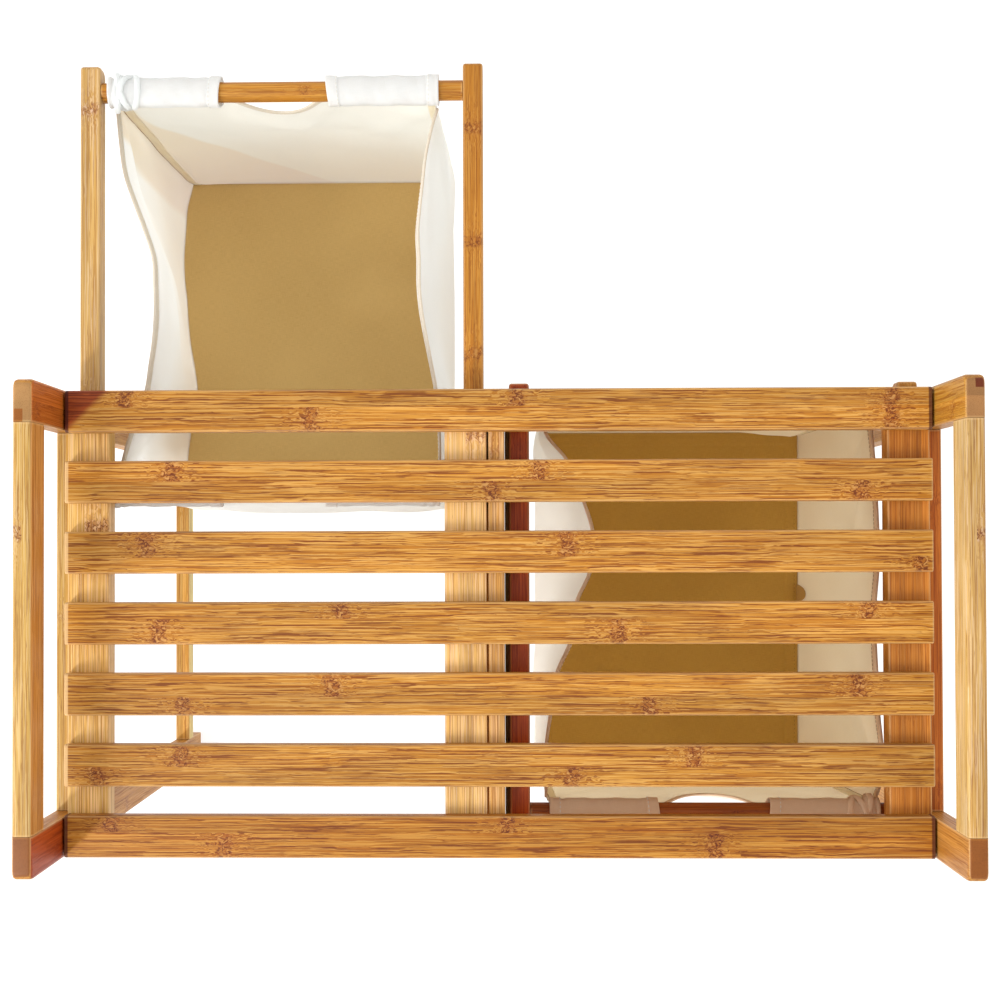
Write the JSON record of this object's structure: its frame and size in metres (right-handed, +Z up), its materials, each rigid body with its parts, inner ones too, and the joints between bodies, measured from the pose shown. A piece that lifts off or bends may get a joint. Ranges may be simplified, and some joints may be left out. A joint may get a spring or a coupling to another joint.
{
  "type": "laundry hamper bench",
  "caption": "Slatted bamboo bench with end hand rails and side-by-side canvas laundry bins that slide out from under the seat on wooden arms.",
  "frame": {"origin": "on the floor, at the middle of the ground that the whole object covers with one bin pulled out", "axes": "+X along the bench from the left end frame to the right one as seen from the front, -Y toward the front where the bins slide out, +Z up"},
  "size_m": [0.73, 0.6516, 0.568],
  "materials": {
    "bamboo": "satin lacquered laminated bamboo with fine lengthwise grain and darker nodes",
    "canvas": "off-white plain-woven cotton canvas, matt",
    "board_cloth": "khaki cloth over a stiff board, matt",
    "steel": "zinc-plated steel"
  },
  "bodies": {
    "bench": {"left_front_leg": "bamboo", "left_back_leg": "bamboo", "left_hand_rail": "bamboo", "left_seat_rail": "bamboo", "left_lower_rail": "bamboo", "left_front_seat_bolt": "steel", "left_back_seat_bolt": "steel", "right_front_leg": "bamboo", "right_back_leg": "bamboo", "right_hand_rail": "bamboo", "right_seat_rail": "bamboo", "right_lower_rail": "bamboo", "right_front_seat_bolt": "steel", "right_back_seat_bolt": "steel", "seat_slat_1": "bamboo", "seat_slat_2": "bamboo", "seat_slat_3": "bamboo", "seat_slat_4": "bamboo", "seat_slat_5": "bamboo", "seat_slat_6": "bamboo", "seat_slat_7": "bamboo", "left_seat_batten": "bamboo", "middle_seat_batten": "bamboo", "right_seat_batten": "bamboo", "middle_rail": "bamboo", "left_outer_ledge": "bamboo", "left_inner_ledge": "bamboo", "right_outer_ledge": "bamboo", "right_inner_ledge": "bamboo", "back_stretcher": "bamboo"},
    "right_bin": {"right_bin_outer_arm": "bamboo", "right_bin_inner_arm": "bamboo", "right_bin_front_bar": "bamboo", "right_bin_back_bar": "bamboo", "right_bin_front_outer_screw": "steel", "right_bin_back_outer_screw": "steel", "right_bin_front_inner_screw": "steel", "right_bin_back_inner_screw": "steel", "right_bag_front_wall": "canvas", "right_bag_back_wall": "canvas", "right_bag_outer_wall": "canvas", "right_bag_inner_wall": "canvas", "right_bag_base": "canvas", "right_base_board": "board_cloth"},
    "left_bin": {"left_bin_outer_arm": "bamboo", "left_bin_inner_arm": "bamboo", "left_bin_front_bar": "bamboo", "left_bin_back_bar": "bamboo", "left_bin_front_outer_screw": "steel", "left_bin_back_outer_screw": "steel", "left_bin_front_inner_screw": "steel", "left_bin_back_inner_screw": "steel", "left_bag_front_wall": "canvas", "left_bag_back_wall": "canvas", "left_bag_outer_wall": "canvas", "left_bag_inner_wall": "canvas", "left_bag_base": "canvas", "left_base_board": "board_cloth"}
  },
  "joints": [
    {"name": "right_bin_slide", "type": "slide", "parent": "bench", "child": "right_bin", "axis": [0, -1, 0], "range_m": [-0.2663, 0.02]},
    {"name": "left_bin_slide", "type": "slide", "parent": "bench", "child": "left_bin", "axis": [0, -1, 0], "range_m": [0, 0.2863]}
  ]
}
